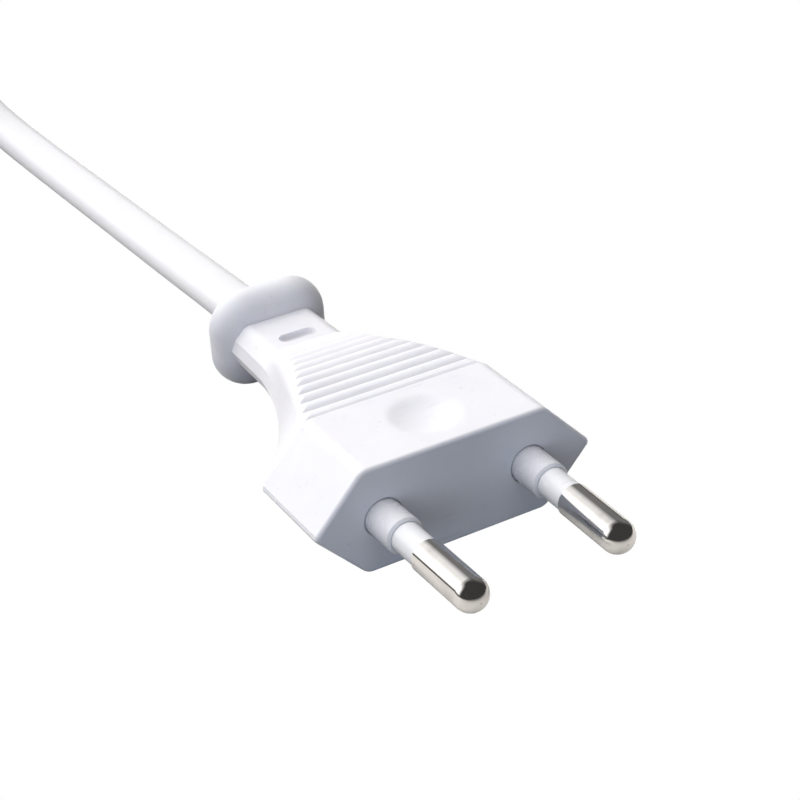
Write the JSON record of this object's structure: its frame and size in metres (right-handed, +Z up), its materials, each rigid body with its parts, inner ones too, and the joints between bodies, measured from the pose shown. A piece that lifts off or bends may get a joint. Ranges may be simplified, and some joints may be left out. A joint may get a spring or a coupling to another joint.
{
  "type": "europlug",
  "caption": "Flat two-pin mains plug with sleeved round pins, a ribbed tapering grip and a finger guard, moulded on a flat two-core lead that is folded in a tied hank.",
  "frame": {"origin": "centre of the engagement face, on the plane of the two pin axes", "axes": "-Y the way the pins point, +Y along the lead, +Z up from the flat top of the head, X across the pins"},
  "size_m": [0.0597, 0.3071, 0.0213],
  "materials": {
    "grip_pvc": "satin moulded PVC",
    "carrier": "satin moulded",
    "pin_nickel": "bright nickel plate",
    "sleeve": "satin",
    "copper": "bare strands",
    "core_brown": "satin insulation",
    "core_blue": "satin insulation",
    "lead_pvc": "satin extruded PVC",
    "tie": "coated wire band",
    "tinned": "tinned",
    "collar_grey": "satin"
  },
  "bodies": {
    "root": {"plug_body": "grip_pvc", "pin_carrier": "carrier", "pin_left": "pin_nickel", "pin_right": "pin_nickel", "pin_sleeve_left": "sleeve", "pin_sleeve_right": "sleeve", "strands_left": "copper", "strands_right": "copper", "core_left": "core_brown", "core_right": "core_blue", "sheath_in_plug": "lead_pvc", "cord_run": "lead_pvc", "cord_hank": "lead_pvc", "cord_tie": "tie", "tail_core_left": "core_brown", "tail_core_right": "core_blue", "ferrule_tube_left": "tinned", "ferrule_tube_right": "tinned", "ferrule_collar_left": "collar_grey", "ferrule_collar_right": "collar_grey"}
  },
  "joints": []
}
